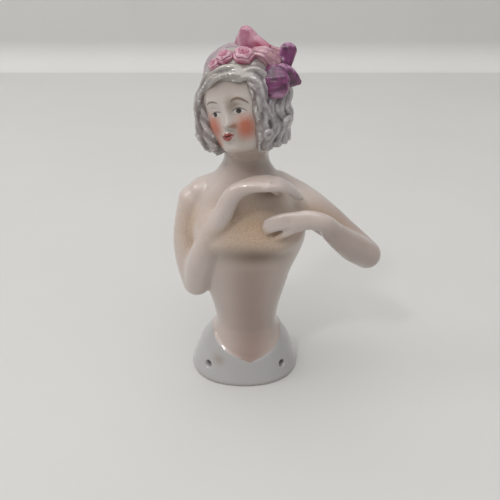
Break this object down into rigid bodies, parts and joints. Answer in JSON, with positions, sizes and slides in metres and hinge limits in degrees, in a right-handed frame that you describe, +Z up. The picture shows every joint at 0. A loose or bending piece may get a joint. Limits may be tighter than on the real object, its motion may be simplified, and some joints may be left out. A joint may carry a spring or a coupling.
{
  "type": "half doll",
  "caption": "Hollow porcelain half doll with a turned head, bobbed hair, a rose and ribbon head-dress, hands raised to the chest and a flared foot with sewing holes.",
  "frame": {"origin": "under the middle of the whole figure, on the surface that the foot rests on", "axes": "+Z up through the head, +X to the doll's left, -Y to the front"},
  "size_m": [0.059, 0.0284, 0.1003],
  "materials": {
    "glazed_porcelain": "gloss"
  },
  "bodies": {
    "root": {"half_doll": "glazed_porcelain"}
  },
  "joints": []
}
